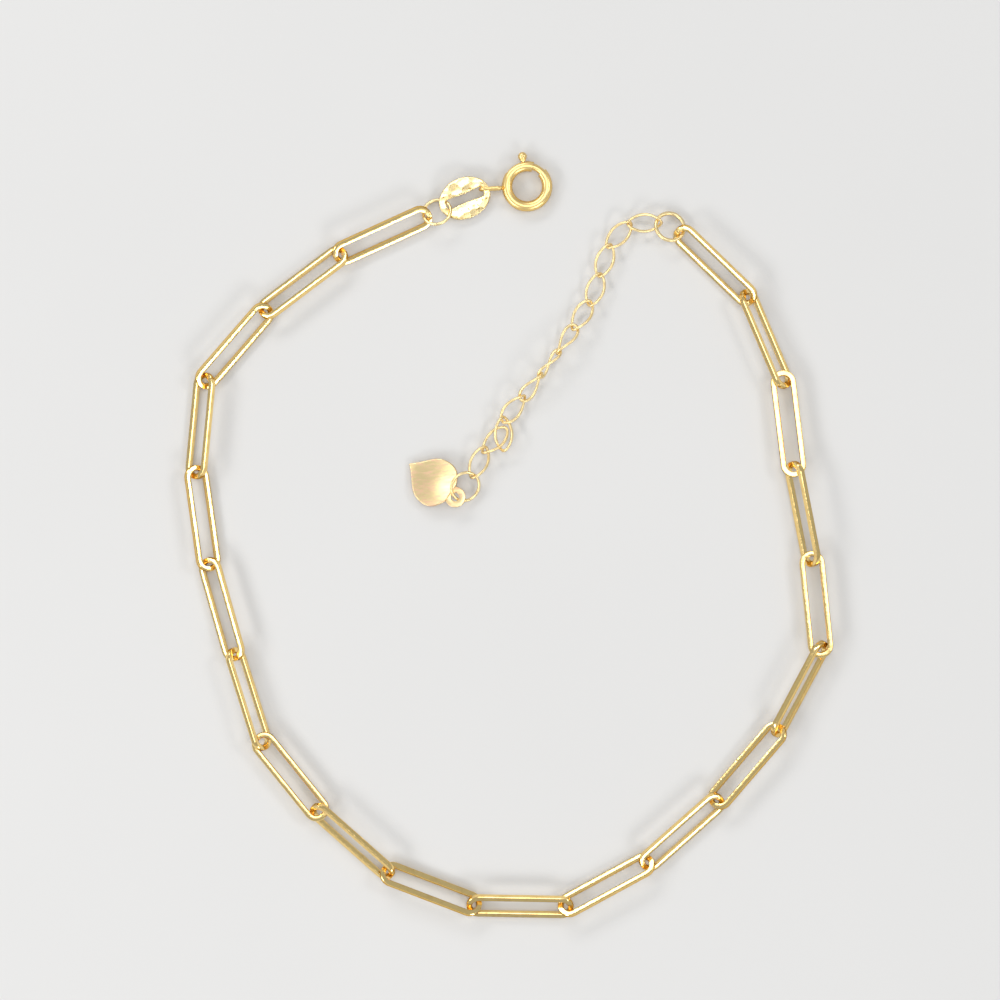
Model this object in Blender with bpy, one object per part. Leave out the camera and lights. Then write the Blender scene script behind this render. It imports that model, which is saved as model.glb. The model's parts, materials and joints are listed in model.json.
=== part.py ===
"""Paperclip chain bracelet of yellow gold, lying open and flat.

Twenty long links run round the wrist opening. One end carries a jump ring, a hammered oval
plate and a spring ring clasp whose bolt slides round inside its tube. The other end carries a
jump ring, a fine extender chain, an end ring and a flat heart tag.

Units are metres and +Z is up. The bracelet lies on the plane Z = 0 with its bounding box
centred on the Z axis. +Y points to the clasp end, +X to the right as seen from above.
"""

import math
from collections import namedtuple

import bmesh
import bpy
from mathutils import Matrix, Vector

MM = 0.001

# One unit of the lengths in the tables below
TABLE_UNIT = 1.0 * MM

# Paperclip link: square wire with its edges broken
LINK_LENGTH = 10.7 * MM
LINK_WIDTH = 2.5 * MM
LINK_WIRE = 0.54 * MM
LINK_EDGE_BREAK = 0.12 * MM
LINK_ARC_STEPS = 6

# Jump rings and end ring: outside diameter and wire
RING_A_DIAMETER = 3.1 * MM
RING_A_WIRE = 0.30 * MM
RING_B_DIAMETER = 3.25 * MM
RING_B_WIRE = 0.36 * MM
END_RING_DIAMETER = 3.2 * MM
END_RING_WIRE = 0.27 * MM
RING_STEPS = 16

# Oval plate link
PLATE_LENGTH = 5.3 * MM
PLATE_WIDTH = 4.1 * MM
PLATE_THICKNESS = 0.24 * MM
PLATE_SLOT_LENGTH = 4.0 * MM
PLATE_SLOT_WIDTH = 1.15 * MM
PLATE_EDGE_BREAK = 0.06 * MM
PLATE_STEPS = 24
PLATE_SLOT_STRAIGHTNESS = 1.9
PLATE_SLOT_BLUNTNESS = 0.6
PLATE_SLOT_PINCH = 0.3

# Spring ring clasp: a bent tube with a gate, its sliding bolt and a soldered eyelet
CLASP_DIAMETER = 5.0 * MM
CLASP_TUBE = 1.0 * MM
CLASP_BORE = 0.74 * MM
BORE_OUTWARD = 0.03 * MM
CLASP_SIDES = 12
CLASP_STEPS = 28
GATE_START = 43.0
GATE_END = 74.0
BOLT_CLEARANCE = 0.05 * MM
BOLT_OUTWARD = 0.04 * MM
BOLT_TIP = 34.0
BOLT_TAIL = 122.0
BOLT_TRAVEL = 42.0
BOLT_STEPS = 12
KNOB_ANGLE = 99.0
KNOB_DIAMETER = 0.86 * MM
KNOB_GAP = 0.09 * MM
NECK_GAP = 0.05 * MM
KNOB_SEGMENTS = 12
KNOB_RINGS = 8
STEM_DIAMETER = 0.36 * MM
STEM_SIDES = 8
NECK_DIAMETER = 0.60 * MM
NECK_SIDES = 12
SLOT_CLEARANCE = 0.09 * MM
SLOT_CORNER = 0.02 * MM
SLOT_STEPS = 8
EYELET_ANGLE = 184.0
EYELET_REACH = 2.56 * MM
EYELET_HEIGHT = 1.3 * MM
EYELET_WIRE = 0.34 * MM
EYELET_SUNK = 0.22 * MM
EYELET_ARC_STEPS = 5
EYELET_SIDES = 8

# Extender link: an ellipse of round wire, twisted a quarter turn from end to end
EXT_LENGTH = 3.65 * MM
EXT_WIDTH = 1.95 * MM
EXT_WIRE = 0.27 * MM
EXT_TWIST = 90.0
EXT_STEPS = 20

# Heart tag with a flat eyelet; the length runs from the eyelet's centre to the point
TAG_LENGTH = 5.76 * MM
TAG_WIDTH = 4.9 * MM
TAG_THICKNESS = 0.3 * MM
TAG_EYELET_DIAMETER = 2.05 * MM
TAG_EYELET_THICKNESS = 0.22 * MM
TAG_HOLE = 0.86 * MM
TAG_EYELET_EDGE_BREAK = 0.05 * MM
TAG_EYELET_STEPS = 20

WIRE_SIDES = 6
SHARP_ANGLE = 32.0

GOLD = (0.86, 0.64, 0.30, 1.0)
POLISHED = 0.15
BRUSHED = 0.25
HAMMERED = 0.3

# The chain's route, link by link from the clasp end, chosen by eye.
# heading: direction of travel seen from above; lean: turn about the link's own length, positive
# with the bar on the inside of the loop raised (both in degrees); play: gap between the two
# wires at the joint behind the link; rise: height of that joint over the surface (both in mm)
Link = namedtuple("Link", "heading lean play rise")
CHAIN = (
    Link(heading=-155.5, lean=-29, play=0.30, rise=0.78),
    Link(heading=-143.0, lean=30, play=0.36, rise=0.78),
    Link(heading=-131.0, lean=-34, play=0.30, rise=0.82),
    Link(heading=-95.5, lean=34, play=0.52, rise=0.82),
    Link(heading=-82.0, lean=-29, play=0.34, rise=0.80),
    Link(heading=-74.0, lean=29, play=0.32, rise=0.78),
    Link(heading=-72.5, lean=-52, play=0.30, rise=0.92),
    Link(heading=-51.0, lean=0, play=0.68, rise=0.95),
    Link(heading=-41.5, lean=45, play=0.66, rise=0.94),
    Link(heading=-21.0, lean=-29, play=0.32, rise=0.93),
    Link(heading=-1.0, lean=30, play=0.44, rise=0.80),
    Link(heading=28.5, lean=-34, play=0.46, rise=0.82),
    Link(heading=41.5, lean=29, play=0.36, rise=0.82),
    Link(heading=49.5, lean=-29, play=0.32, rise=0.80),
    Link(heading=62.0, lean=54, play=0.30, rise=1.03),
    Link(heading=96.0, lean=-8, play=0.64, rise=1.00),
    Link(heading=101.0, lean=-56, play=0.52, rise=1.09),
    Link(heading=97.0, lean=-1, play=0.50, rise=1.08),
    Link(heading=113.0, lean=46, play=0.76, rise=0.95),
    Link(heading=136.0, lean=-38, play=0.60, rise=0.93),
)
CHAIN_END_RISE = 0.78 * MM

# The extender's links, each by its middle seen from the middle of jump ring B (x, y, in mm),
# its height, its heading, its climb towards the tag and its roll (in degrees)
ExtLink = namedtuple("ExtLink", "x y z heading climb roll")
EXTENDER = (
    ExtLink(x=-2.55, y=0.40, z=0.62, heading=181, climb=-7, roll=-6),
    ExtLink(x=-5.10, y=-0.80, z=0.53, heading=226, climb=-1, roll=0),
    ExtLink(x=-6.50, y=-3.35, z=0.55, heading=250, climb=-1, roll=0),
    ExtLink(x=-7.45, y=-6.25, z=0.53, heading=251, climb=1, roll=1),
    ExtLink(x=-8.80, y=-8.85, z=0.69, heading=239, climb=7, roll=17),
    ExtLink(x=-10.35, y=-11.25, z=0.90, heading=236, climb=3, roll=51),
    ExtLink(x=-12.05, y=-13.65, z=1.02, heading=233, climb=1, roll=88),
    ExtLink(x=-13.80, y=-15.95, z=0.90, heading=233, climb=-8, roll=125),
    ExtLink(x=-15.60, y=-18.15, z=0.69, heading=230, climb=-1, roll=157),
    ExtLink(x=-16.60, y=-20.65, z=0.77, heading=271, climb=0, roll=-2),
    ExtLink(x=-17.50, y=-21.30, z=0.57, heading=226, climb=4, roll=16),
    ExtLink(x=-19.05, y=-23.50, z=0.74, heading=246, climb=9, roll=4),
)

# A ring's place from the middle of its carrier (x, y), its middle's height in mm, and its tilt:
# it sinks by drop degrees towards the heading sink
RingPlace = namedtuple("RingPlace", "x y z sink drop")
RING_A_PLACE = RingPlace(x=1.725, y=0.62, z=0.75, sink=113, drop=27.5)
RING_B_PLACE = RingPlace(x=-1.54, y=1.03, z=0.70, sink=57, drop=19.5)
END_RING_PLACE = RingPlace(x=-20.41, y=-25.91, z=0.93, sink=320, drop=28)

# The plate's middle from jump ring A's middle, and its tilt the same way
PLATE_PLACE = RingPlace(x=2.77, y=1.40, z=0.62, sink=-60, drop=9)
PLATE_HEADING = 22.5

# The clasp ring's middle from the plate's middle, and the tag's eyelet from the end ring's middle
CLASP_X = 6.22 * MM
CLASP_Y = 1.19 * MM
TAG_X = -1.00 * MM
TAG_Y = -1.04 * MM
TAG_HEADING = 144.0
TAG_INCLINE = 8.3


def clear_scene():
    for obj in list(bpy.data.objects):
        bpy.data.objects.remove(obj, do_unlink=True)


def gold(name, roughness):
    material = bpy.data.materials.new(name)
    material.use_nodes = True
    shader = material.node_tree.nodes["Principled BSDF"]
    shader.inputs["Base Color"].default_value = GOLD
    shader.inputs["Metallic"].default_value = 1.0
    shader.inputs["Roughness"].default_value = roughness
    material.diffuse_color = GOLD
    return material


def direction(heading, climb=0.0):
    flat = math.cos(math.radians(climb))
    turn = math.radians(heading)
    return Vector((math.cos(turn) * flat, math.sin(turn) * flat, math.sin(math.radians(climb))))


def lying(along, roll=0.0):
    """Turns local X to the direction given and local Z up, then rolls about local X."""
    side = Vector((0, 0, 1)).cross(along).normalized()
    turned = Matrix((along, side, along.cross(side))).transposed()
    return (turned @ Matrix.Rotation(math.radians(roll), 3, "X")).to_4x4()


def tilted(sink, drop):
    """Tilts the flat by drop degrees, sinking towards the heading sink."""
    axis = direction(sink + 90)
    return Matrix.Rotation(math.radians(drop), 4, axis)


def round_section(wire, sides=WIRE_SIDES):
    radius = wire / 2
    turns = [2 * math.pi * (k + 0.5) / sides for k in range(sides)]
    return [(radius * math.cos(t), radius * math.sin(t)) for t in turns]


def square_section(width, height, edge_break):
    a = width / 2
    b = height / 2
    c = edge_break
    top = [(a, b - c), (a - c, b), (c - a, b), (-a, b - c)]
    return top + [(-x, -y) for x, y in top]


def oval_path(length, width, arc_steps):
    """Middle line of a flat link with half-round ends, and its outward normals."""
    radius = width / 2
    half = length / 2 - radius
    points = []
    normals = []
    for centre, start in ((half, -90), (-half, 90)):
        for k in range(arc_steps + 1):
            normal = direction(start + 180 * k / arc_steps)
            points.append(Vector((centre, 0, 0)) + radius * normal)
            normals.append(normal)
    return points, normals


def twisted_path(length, width, steps, twist):
    """Middle line of an ellipse wrung about its length by twist degrees, and its outward normals."""
    points = []
    normals = []
    for k in range(steps):
        turn = 360 * (k + 0.5) / steps
        out = direction(turn)
        point = Vector((out.x * length / 2, out.y * width / 2, 0))
        normal = Vector((out.x / length, out.y / width, 0)).normalized()
        wring = Matrix.Rotation(math.radians(twist) * point.x / length, 3, "X")
        points.append(wring @ point)
        normals.append(wring @ normal)
    return points, normals


def circle_path(radius, steps, start=0.0, end=360.0):
    whole = end - start == 360.0
    count = steps if whole else steps + 1
    normals = [direction(start + (end - start) * k / steps) for k in range(count)]
    return [radius * n for n in normals], normals


def swept(mesh, points, normals, section, closed=True):
    """Adds a tube along the points. The section's first axis points along the outward normals."""
    count = len(points)
    rings = []
    for k, point in enumerate(points):
        before = points[k - 1] if closed or k > 0 else point
        after = points[(k + 1) % count] if closed or k < count - 1 else point
        tangent = (after - before).normalized()
        across = tangent.cross(normals[k]).normalized()
        outward = across.cross(tangent)
        rings.append([mesh.verts.new(point + a * outward + b * across) for a, b in section])
    for k in range(count if closed else count - 1):
        join_rings(mesh, rings[k], rings[(k + 1) % count])
    if not closed:
        mesh.faces.new(rings[0])
        mesh.faces.new(rings[-1])
    return rings


def join_rings(mesh, first, second):
    sides = len(first)
    for k in range(sides):
        n = (k + 1) % sides
        mesh.faces.new((first[k], first[n], second[n], second[k]))


def finish_mesh(name, mesh):
    bmesh.ops.recalc_face_normals(mesh, faces=mesh.faces)
    data = bpy.data.meshes.new(name)
    mesh.to_mesh(data)
    mesh.free()
    data.shade_smooth()
    data.set_sharp_from_angle(angle=math.radians(SHARP_ANGLE))
    return data


def add_object(name, data, pose, parent, material=None):
    obj = bpy.data.objects.new(name, data)
    bpy.context.scene.collection.objects.link(obj)
    obj.parent = parent
    obj.location = pose.translation
    obj.rotation_euler = pose.to_euler()
    if material is not None:
        data.materials.clear()
        data.materials.append(material)
    return obj


def hide_helper(obj):
    obj.hide_render = True
    obj.display_type = "WIRE"
    obj.hide_set(True)


def combine(obj, helper, operation):
    modifier = obj.modifiers.new(helper.name, "BOOLEAN")
    modifier.operation = operation
    modifier.object = helper
    hide_helper(helper)


def wire_loop(name, points, normals, section):
    mesh = bmesh.new()
    swept(mesh, points, normals, section)
    return finish_mesh(name, mesh)


def paperclip_link_mesh(name):
    points, normals = oval_path(LINK_LENGTH - LINK_WIRE, LINK_WIDTH - LINK_WIRE, LINK_ARC_STEPS)
    return wire_loop(name, points, normals, square_section(LINK_WIRE, LINK_WIRE, LINK_EDGE_BREAK))


def ring_mesh(name, diameter, wire):
    points, normals = circle_path((diameter - wire) / 2, RING_STEPS)
    return wire_loop(name, points, normals, round_section(wire))


def extender_link_mesh(name):
    length = EXT_LENGTH - EXT_WIRE
    width = EXT_WIDTH - EXT_WIRE
    points, normals = twisted_path(length, width, EXT_STEPS, EXT_TWIST)
    return wire_loop(name, points, normals, round_section(EXT_WIRE))


def add_chain(parent):
    """Lays the paperclip links. Returns the middles of the arcs at the chain's two ends."""
    arc_reach = LINK_LENGTH / 2 - LINK_WIDTH / 2
    rises = [row.rise * TABLE_UNIT for row in CHAIN] + [CHAIN_END_RISE]
    near = Vector((0, 0, 0))
    first_arc = near.copy()
    for k, row in enumerate(CHAIN):
        along = direction(row.heading)
        middle = near + arc_reach * along
        start_rise = rises[k]
        end_rise = rises[k + 1]
        climb = math.degrees(math.atan2(end_rise - start_rise, LINK_LENGTH - 2 * LINK_WIRE))
        name = f"paperclip_link_{k + 1:02d}"
        pose = lying(direction(row.heading, climb), row.lean)
        pose.translation = middle + Vector((0, 0, (start_rise + end_rise) / 2))
        add_object(name, paperclip_link_mesh(name), pose, parent, gold(name, POLISHED))
        far = middle + arc_reach * along
        if k + 1 < len(CHAIN):
            after = CHAIN[k + 1]
            offset = (LINK_WIDTH - 2 * LINK_WIRE - after.play * TABLE_UNIT) / 2
            near = far + offset * (along + direction(after.heading))
    return first_arc, far


def add_ring(name, diameter, wire, place, carrier, parent):
    middle = carrier + Vector((place.x, place.y, 0)) * TABLE_UNIT
    pose = tilted(place.sink, place.drop)
    pose.translation = middle + Vector((0, 0, place.z * TABLE_UNIT))
    add_object(name, ring_mesh(name, diameter, wire), pose, parent, gold(name, POLISHED))
    return middle


def blunted(value):
    return math.copysign(abs(value) ** PLATE_SLOT_BLUNTNESS, value)


def plate_mesh(name):
    """Oval ring with a slot that is narrower halfway: each section runs from slot to rim."""
    mesh = bmesh.new()
    half_thickness = PLATE_THICKNESS / 2
    edge = PLATE_EDGE_BREAK
    sections = []
    for k in range(PLATE_STEPS):
        turn = 2 * math.pi * k / PLATE_STEPS
        rim = Vector((PLATE_LENGTH / 2 * math.cos(turn), PLATE_WIDTH / 2 * math.sin(turn), 0))
        slot_reach = PLATE_SLOT_LENGTH / 2 - PLATE_SLOT_WIDTH / 2
        squeeze = max(-1.0, min(1.0, PLATE_SLOT_STRAIGHTNESS * math.cos(turn)))
        blunt_end = Vector((blunted(math.cos(turn)), blunted(math.sin(turn)), 0))
        slot = Vector((slot_reach * squeeze, 0, 0)) + blunt_end * PLATE_SLOT_WIDTH / 2
        slot.y *= 1 - PLATE_SLOT_PINCH * (1 - (2 * slot.x / PLATE_SLOT_LENGTH) ** 2)
        outward = (rim - slot).normalized()
        corners = []
        for point, side in ((slot, 1), (rim, -1)):
            inset = side * edge * outward
            corners.append((point + inset, half_thickness))
            corners.append((point, half_thickness - edge))
            corners.append((point, edge - half_thickness))
            corners.append((point + inset, -half_thickness))
        ordered = corners[:4] + corners[:3:-1]
        sections.append([mesh.verts.new(p + Vector((0, 0, z))) for p, z in ordered])
    for k in range(PLATE_STEPS):
        join_rings(mesh, sections[k], sections[(k + 1) % PLATE_STEPS])
    return finish_mesh(name, mesh)


def add_plate(ring_middle, parent):
    place = PLATE_PLACE
    middle = ring_middle + Vector((place.x, place.y, 0)) * TABLE_UNIT
    pose = tilted(place.sink, place.drop) @ Matrix.Rotation(math.radians(PLATE_HEADING), 4, "Z")
    pose.translation = middle + Vector((0, 0, place.z * TABLE_UNIT))
    add_object("oval_plate", plate_mesh("oval_plate"), pose, parent, gold("oval_plate", HAMMERED))
    return middle


def clasp_tube_mesh(name):
    """Tube with a bore, open at both sides of the gate."""
    radius = (CLASP_DIAMETER - CLASP_TUBE) / 2
    points, normals = circle_path(radius, CLASP_STEPS, GATE_END, GATE_START + 360)
    mesh = bmesh.new()
    outer_section = vertex_up_section(CLASP_TUBE)
    bore_section = vertex_up_section(CLASP_BORE)
    outer = []
    bore = []
    for point, normal in zip(points, normals):
        up = Vector((0, 0, 1))
        outer.append([mesh.verts.new(point + a * normal + b * up) for a, b in outer_section])
        middle = point + BORE_OUTWARD * normal
        bore.append([mesh.verts.new(middle + a * normal + b * up) for a, b in bore_section])
    for k in range(CLASP_STEPS):
        join_rings(mesh, outer[k], outer[k + 1])
        join_rings(mesh, bore[k + 1], bore[k])
    join_rings(mesh, bore[0], outer[0])
    join_rings(mesh, outer[-1], bore[-1])
    return finish_mesh(name, mesh)


def vertex_up_section(diameter):
    turns = [2 * math.pi * k / CLASP_SIDES for k in range(CLASP_SIDES)]
    return [(diameter / 2 * math.cos(t), diameter / 2 * math.sin(t)) for t in turns]


def lever_slot_mesh(name):
    """Cutter for the slot in the tube's outer wall in which the bolt's stem travels."""
    radius = (CLASP_DIAMETER - CLASP_TUBE) / 2
    depth = CLASP_TUBE
    width = STEM_DIAMETER + 2 * SLOT_CLEARANCE
    margin = math.degrees(width / CLASP_DIAMETER)
    start = KNOB_ANGLE - margin
    end = KNOB_ANGLE + BOLT_TRAVEL + margin
    points, normals = circle_path(radius + depth / 2, SLOT_STEPS, start, end)
    mesh = bmesh.new()
    swept(mesh, points, normals, square_section(depth, width, SLOT_CORNER), closed=False)
    return finish_mesh(name, mesh)


def clasp_eyelet_mesh(name):
    """Wire loop standing on edge, from inside the tube's wall outwards."""
    length = EYELET_REACH - EYELET_WIRE
    height = EYELET_HEIGHT - EYELET_WIRE
    points, normals = oval_path(length, height, EYELET_ARC_STEPS)
    upright = Matrix.Rotation(math.radians(90), 3, "X")
    points = [upright @ p for p in points]
    normals = [upright @ n for n in normals]
    return wire_loop(name, points, normals, round_section(EYELET_WIRE, EYELET_SIDES))


def add_clasp(plate_middle, parent):
    centre = plate_middle + Vector((CLASP_X, CLASP_Y, CLASP_TUBE / 2))
    pose = Matrix.Translation(centre)
    satin = gold("clasp_body", BRUSHED)
    body = add_object("clasp_body", clasp_tube_mesh("clasp_body"), pose, parent, satin)
    slot = add_object("lever_slot", lever_slot_mesh("lever_slot"), pose, parent)
    combine(body, slot, "DIFFERENCE")
    reach = CLASP_DIAMETER / 2 - EYELET_SUNK + EYELET_REACH / 2
    rise = EYELET_HEIGHT / 2 - CLASP_TUBE / 2
    eyelet_pose = lying(direction(EYELET_ANGLE))
    eyelet_pose.translation = centre + reach * direction(EYELET_ANGLE) + Vector((0, 0, rise))
    eyelet = add_object("clasp_eyelet", clasp_eyelet_mesh("clasp_eyelet"), eyelet_pose, parent)
    combine(body, eyelet, "UNION")
    add_bolt(pose, parent)


def bolt_rod_mesh(name):
    radius = (CLASP_DIAMETER - CLASP_TUBE) / 2 + BOLT_OUTWARD
    points, normals = circle_path(radius, BOLT_STEPS, BOLT_TIP, BOLT_TAIL)
    mesh = bmesh.new()
    swept(mesh, points, normals, vertex_up_section(CLASP_BORE - 2 * BOLT_CLEARANCE), closed=False)
    return finish_mesh(name, mesh)


def knob_mesh(name):
    mesh = bmesh.new()
    radius = KNOB_DIAMETER / 2
    bmesh.ops.create_uvsphere(mesh, u_segments=KNOB_SEGMENTS, v_segments=KNOB_RINGS, radius=radius)
    return finish_mesh(name, mesh)


def pin_mesh(name, diameter, length, sides):
    mesh = bmesh.new()
    half = diameter / 2
    bmesh.ops.create_cone(mesh, cap_ends=True, segments=sides, radius1=half, radius2=half, depth=length)
    return finish_mesh(name, mesh)


def add_pin(name, diameter, sides, centre, start, end, parent):
    """Adds a pin on the knob's line, from one distance to another off the clasp ring's axis."""
    out = direction(KNOB_ANGLE)
    pose = lying(out) @ Matrix.Rotation(math.radians(90), 4, "Y")
    pose.translation = centre + (start + end) / 2 * out
    return add_object(name, pin_mesh(name, diameter, end - start, sides), pose, parent)


def add_bolt(pose, parent):
    """Bolt with stem, neck and knob; its origin is on the clasp ring's axis, about which it turns."""
    polished = gold("clasp_bolt", POLISHED)
    bolt = add_object("clasp_bolt", bolt_rod_mesh("clasp_bolt"), pose, parent, polished)
    centre = pose.translation
    knob_reach = CLASP_DIAMETER / 2 + KNOB_GAP + KNOB_DIAMETER / 2
    rod_reach = (CLASP_DIAMETER - CLASP_TUBE) / 2
    neck_reach = CLASP_DIAMETER / 2 + NECK_GAP
    knob_pose = Matrix.Translation(centre + knob_reach * direction(KNOB_ANGLE))
    knob = add_object("bolt_knob", knob_mesh("bolt_knob"), knob_pose, parent)
    stem = add_pin("bolt_stem", STEM_DIAMETER, STEM_SIDES, centre, rod_reach, knob_reach, parent)
    neck = add_pin("bolt_neck", NECK_DIAMETER, NECK_SIDES, centre, neck_reach, knob_reach, parent)
    combine(bolt, stem, "UNION")
    combine(bolt, neck, "UNION")
    combine(bolt, knob, "UNION")


def add_extender(ring_middle, parent):
    for k, row in enumerate(EXTENDER):
        name = f"extender_link_{k + 1:02d}"
        pose = lying(direction(row.heading, row.climb), row.roll)
        pose.translation = ring_middle + Vector((row.x, row.y, row.z)) * TABLE_UNIT
        add_object(name, extender_link_mesh(name), pose, parent, gold(name, POLISHED))


# Half outline of the heart from beside its eyelet to its point,
# in shares of the length and of half the width
HEART_HALF = (
    (0.10, 0.40), (0.16, 0.66), (0.23, 0.86), (0.33, 0.98), (0.44, 1.00), (0.56, 0.95),
    (0.67, 0.80), (0.76, 0.58), (0.85, 0.34), (0.93, 0.15),
)


def heart_mesh(name):
    """Flat heart, X from the eyelet's middle to the point."""
    upper = [(a * TAG_LENGTH, b * TAG_WIDTH / 2) for a, b in HEART_HALF]
    lower = [(x, -y) for x, y in reversed(upper)]
    outline = upper + [(TAG_LENGTH, 0.0)] + lower
    mesh = bmesh.new()
    base = [mesh.verts.new((x, y, -TAG_THICKNESS / 2)) for x, y in outline]
    face = mesh.faces.new(base)
    lifted = bmesh.ops.extrude_face_region(mesh, geom=[face])["geom"]
    top = [item for item in lifted if isinstance(item, bmesh.types.BMVert)]
    bmesh.ops.translate(mesh, verts=top, vec=(0, 0, TAG_THICKNESS))
    return finish_mesh(name, mesh)


def tag_eyelet_mesh(name):
    ring_width = (TAG_EYELET_DIAMETER - TAG_HOLE) / 2
    points, normals = circle_path((TAG_EYELET_DIAMETER + TAG_HOLE) / 4, TAG_EYELET_STEPS)
    section = square_section(ring_width, TAG_EYELET_THICKNESS, TAG_EYELET_EDGE_BREAK)
    return wire_loop(name, points, normals, section)


def add_tag(end_ring_middle, parent):
    """Lays the heart's point on the surface and its eyelet raised on the end ring."""
    eyelet = end_ring_middle + Vector((TAG_X, TAG_Y, 0))
    pose = lying(direction(TAG_HEADING, -TAG_INCLINE))
    lift = TAG_LENGTH * math.sin(math.radians(TAG_INCLINE)) + TAG_THICKNESS / 2
    pose.translation = eyelet + Vector((0, 0, lift))
    tag = add_object("heart_tag", heart_mesh("heart_tag"), pose, parent, gold("heart_tag", BRUSHED))
    ring = add_object("tag_eyelet", tag_eyelet_mesh("tag_eyelet"), pose, parent)
    combine(tag, ring, "UNION")


def centre_on_origin(base):
    """Moves the whole bracelet so that its bounding box stands on Z = 0, centred on the Z axis."""
    bpy.context.view_layer.update()
    graph = bpy.context.evaluated_depsgraph_get()
    corners = []
    for obj in base.children:
        if obj.hide_render:
            continue
        mesh = obj.evaluated_get(graph).data
        corners.extend(obj.matrix_world @ v.co for v in mesh.vertices)
    low = Vector([min(c[i] for c in corners) for i in range(3)])
    high = Vector([max(c[i] for c in corners) for i in range(3)])
    base.location = (-(low.x + high.x) / 2, -(low.y + high.y) / 2, -low.z)
    bpy.context.view_layer.update()


def main():
    clear_scene()
    base = bpy.data.objects.new("bracelet", None)
    bpy.context.scene.collection.objects.link(base)
    first_arc, last_arc = add_chain(base)
    ring_a = add_ring("jump_ring_a", RING_A_DIAMETER, RING_A_WIRE, RING_A_PLACE, first_arc, base)
    plate = add_plate(ring_a, base)
    add_clasp(plate, base)
    ring_b = add_ring("jump_ring_b", RING_B_DIAMETER, RING_B_WIRE, RING_B_PLACE, last_arc, base)
    add_extender(ring_b, base)
    end_ring = add_ring("end_ring", END_RING_DIAMETER, END_RING_WIRE, END_RING_PLACE, ring_b, base)
    add_tag(end_ring, base)
    centre_on_origin(base)


main()
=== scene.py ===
"""Paperclip chain bracelet in polished yellow gold, lying open on a pale table.

Laid out as a Blender add-on and run as a script: each operator models one piece, or one kind of
piece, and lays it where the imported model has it.
"""

import json
import math

import bmesh
import bpy
import numpy as np
from bpy.props import FloatProperty, FloatVectorProperty, IntProperty, PointerProperty
from mathutils import Matrix, Vector


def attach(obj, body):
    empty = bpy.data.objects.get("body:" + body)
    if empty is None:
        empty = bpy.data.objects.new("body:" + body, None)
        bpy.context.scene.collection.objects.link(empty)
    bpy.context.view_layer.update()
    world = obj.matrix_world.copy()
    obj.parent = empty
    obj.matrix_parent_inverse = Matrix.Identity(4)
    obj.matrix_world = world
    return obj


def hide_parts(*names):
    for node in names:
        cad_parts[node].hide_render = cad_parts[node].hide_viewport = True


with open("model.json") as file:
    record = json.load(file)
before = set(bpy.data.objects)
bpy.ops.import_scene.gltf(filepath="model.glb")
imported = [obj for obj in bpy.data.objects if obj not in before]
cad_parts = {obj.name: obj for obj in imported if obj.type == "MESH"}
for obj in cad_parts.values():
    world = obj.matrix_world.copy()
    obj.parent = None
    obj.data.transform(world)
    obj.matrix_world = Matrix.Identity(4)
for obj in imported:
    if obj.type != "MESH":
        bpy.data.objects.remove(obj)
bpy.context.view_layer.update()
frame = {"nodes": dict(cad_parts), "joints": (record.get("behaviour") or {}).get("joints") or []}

bl_info = {
    "name": "Paperclip Chain Bracelet",
    "version": (1, 0, 0),
    "blender": (4, 5, 0),
    "location": "View3D > Sidebar > Bracelet",
    "description": "Models a gold paperclip chain bracelet with its clasp, extender and heart tag",
    "category": "Add Mesh",
}

MM = 0.001
QUARTER_TURN = math.radians(90)
NODES = frame["nodes"]
BODY = "bracelet"
LEVER_BODY = "clasp_bolt"
# The plate and the heart are worked this much larger, because remeshing has a smallest spacing
WORK_SCALE = 1000.0
# Points closer than this are one
SAME_PLACE = 1e-7

# Sides and steps of the round shapes
TUBE_SIDES = 40
TUBE_STEPS = 90
LEVER_SLOT_STEPS = 16
BOLT_SIDES = 24
BOLT_STEPS = 30
PIN_SIDES = 24
KNOB_SIDES = 40
KNOB_RINGS = 24
PLATE_SIDES = 96
OVAL_SIDES = 72
OVAL_WIRE_STEPS = 8
TAG_EYELET_SIDES = 64
CURVE_STEPS = 4


def length_of(label, text, millimetres):
    return FloatProperty(
        name=label, description=text, default=millimetres * MM, min=0.0, unit="LENGTH", precision=6
    )


def angle_of(label, text, degrees):
    return FloatProperty(
        name=label, description=text, default=math.radians(degrees), subtype="ANGLE"
    )


def colour_of(label, text, red, green, blue):
    return FloatVectorProperty(
        name=label, description=text, subtype="COLOR", size=3, min=0.0, max=1.0,
        default=(red, green, blue),
    )


def power_of(label, text, watts):
    return FloatProperty(name=label, description=text, default=watts, min=0.0, unit="POWER")


def count_of(label, text, count):
    return IntProperty(name=label, description=text, default=count, min=6)


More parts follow.
